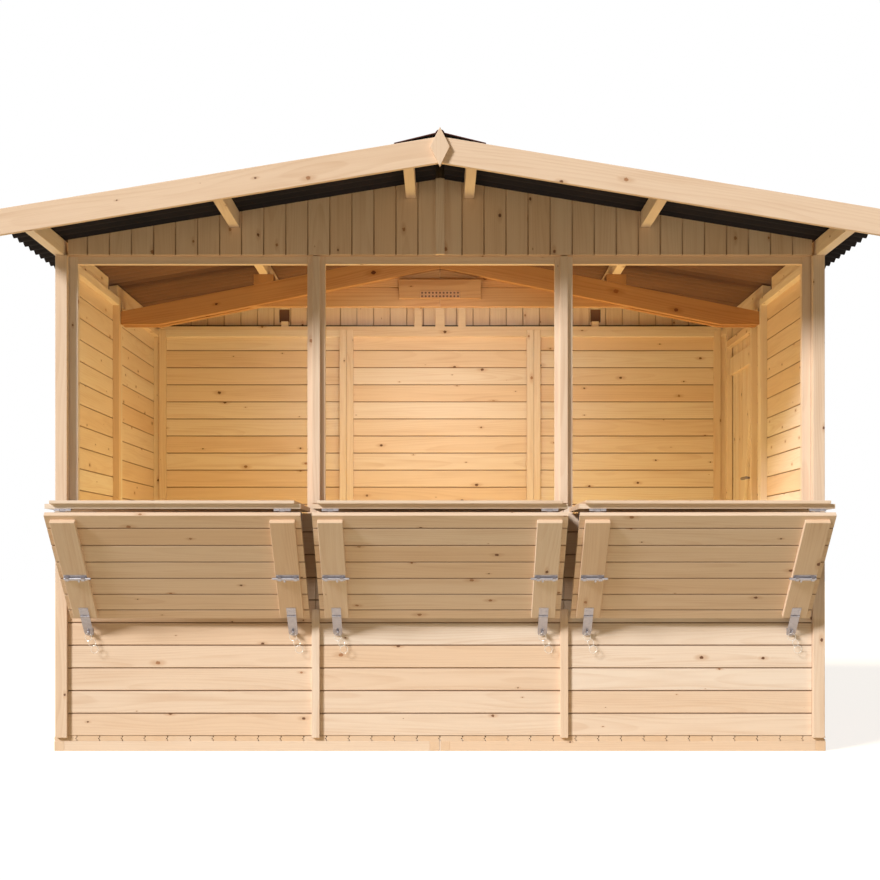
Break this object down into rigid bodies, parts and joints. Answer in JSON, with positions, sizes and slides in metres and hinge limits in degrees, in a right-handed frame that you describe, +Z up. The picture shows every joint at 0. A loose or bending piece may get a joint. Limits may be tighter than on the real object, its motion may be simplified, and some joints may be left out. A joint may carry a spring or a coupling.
{
  "type": "wooden market stall",
  "caption": "Boarded timber market stall with fold-down counters propped by hinged flaps, a ledged side door, boarded gables and a corrugated pitched roof.",
  "frame": {"origin": "on the ground, in the middle of the bounding box", "axes": "+X to the right of someone facing the counters, +Y to the back, +Z up"},
  "size_m": [3.1918, 2.916, 2.2518],
  "materials": {
    "softwood_boards": "planed, untreated",
    "planed_timber": "planed, untreated",
    "truss_timber": "planed, untreated",
    "bearer_timber": "planed, untreated",
    "bitumen_sheet": "matt fibrous bitumen",
    "bitumen_ridge": "matt fibrous bitumen",
    "galvanised_steel": "zinc plated"
  },
  "bodies": {
    "stall": {"eave_purlins": "planed_timber", "fascia_boards": "softwood_boards", "finials": "planed_timber", "floor_bearers": "bearer_timber", "floor_boards": "softwood_boards", "floor_joists": "bearer_timber", "front_cover_strips": "planed_timber", "front_gable_boards": "softwood_boards", "front_posts": "planed_timber", "front_rails": "planed_timber", "front_wall_centre": "softwood_boards", "front_wall_left": "softwood_boards", "front_wall_right": "softwood_boards", "gable_frames": "planed_timber", "left_wall_boards": "softwood_boards", "mid_purlins": "planed_timber", "rear_cover_strips": "planed_timber", "rear_gable_boards": "softwood_boards", "rear_posts": "planed_timber", "rear_rails": "planed_timber", "rear_wall_boards": "softwood_boards", "ridge_cap": "bitumen_ridge", "ridge_purlins": "planed_timber", "right_wall_boards": "softwood_boards", "right_wall_over_door": "softwood_boards", "roof_sheet_left": "bitumen_sheet", "roof_sheet_right": "bitumen_sheet", "side_cover_strips": "planed_timber", "side_wall_posts": "planed_timber", "side_wall_rails": "planed_timber", "truss_nail_plate": "galvanised_steel", "truss_packers": "truss_timber", "truss_rafters": "truss_timber", "truss_splice": "truss_timber", "truss_tie": "truss_timber", "wall_fittings": "galvanised_steel"},
    "counter_left": {"counter_leaf_left": "softwood_boards", "counter_top_left": "softwood_boards", "counter_hinges_left": "galvanised_steel"},
    "prop_left": {"prop_flap_left": "softwood_boards", "prop_battens_left": "planed_timber", "prop_fittings_left": "galvanised_steel"},
    "hasps_left": {"hasp_leaves_left": "galvanised_steel"},
    "counter_centre": {"counter_leaf_centre": "softwood_boards", "counter_top_centre": "softwood_boards", "counter_hinges_centre": "galvanised_steel"},
    "prop_centre": {"prop_flap_centre": "softwood_boards", "prop_battens_centre": "planed_timber", "prop_fittings_centre": "galvanised_steel"},
    "hasps_centre": {"hasp_leaves_centre": "galvanised_steel"},
    "counter_right": {"counter_leaf_right": "softwood_boards", "counter_top_right": "softwood_boards", "counter_hinges_right": "galvanised_steel"},
    "prop_right": {"prop_flap_right": "softwood_boards", "prop_battens_right": "planed_timber", "prop_fittings_right": "galvanised_steel"},
    "hasps_right": {"hasp_leaves_right": "galvanised_steel"},
    "door": {"door_boards": "softwood_boards", "door_ledges": "planed_timber", "door_fittings": "galvanised_steel"}
  },
  "joints": [
    {"name": "counter_hinge_left", "type": "hinge", "parent": "stall", "child": "counter_left", "pos_m": [-0.951, -0.965, 0.915], "axis": [-1, 0, 0], "range_deg": [0, 90]},
    {"name": "prop_hinge_left", "type": "hinge", "parent": "counter_left", "child": "prop_left", "pos_m": [-0.951, -1.38615, 0.9095], "axis": [-1, 0, 0], "range_deg": [0, 133.9]},
    {"name": "counter_hinge_centre", "type": "hinge", "parent": "stall", "child": "counter_centre", "pos_m": [0, -0.965, 0.915], "axis": [-1, 0, 0], "range_deg": [0, 90]},
    {"name": "prop_hinge_centre", "type": "hinge", "parent": "counter_centre", "child": "prop_centre", "pos_m": [0, -1.38615, 0.9095], "axis": [-1, 0, 0], "range_deg": [0, 133.9]},
    {"name": "counter_hinge_right", "type": "hinge", "parent": "stall", "child": "counter_right", "pos_m": [0.951, -0.965, 0.915], "axis": [-1, 0, 0], "range_deg": [0, 90]},
    {"name": "prop_hinge_right", "type": "hinge", "parent": "counter_right", "child": "prop_right", "pos_m": [0.951, -1.38615, 0.9095], "axis": [-1, 0, 0], "range_deg": [0, 133.9]},
    {"name": "hasp_hinge_left", "type": "hinge", "parent": "prop_left", "child": "hasps_left", "pos_m": [-1.3415, -1.04564, 0.51951], "axis": [-1, 0, 0], "range_deg": [0, 175]},
    {"name": "hasp_hinge_centre", "type": "hinge", "parent": "prop_centre", "child": "hasps_centre", "pos_m": [-0.3905, -1.04564, 0.51951], "axis": [-1, 0, 0], "range_deg": [0, 175]},
    {"name": "hasp_hinge_right", "type": "hinge", "parent": "prop_right", "child": "hasps_right", "pos_m": [0.5605, -1.04564, 0.51951], "axis": [-1, 0, 0], "range_deg": [0, 175]},
    {"name": "door_hinge", "type": "hinge", "parent": "stall", "child": "door", "pos_m": [1.4805, 0.78, 1], "axis": [0, 0, 1], "range_deg": [0, 100]}
  ]
}
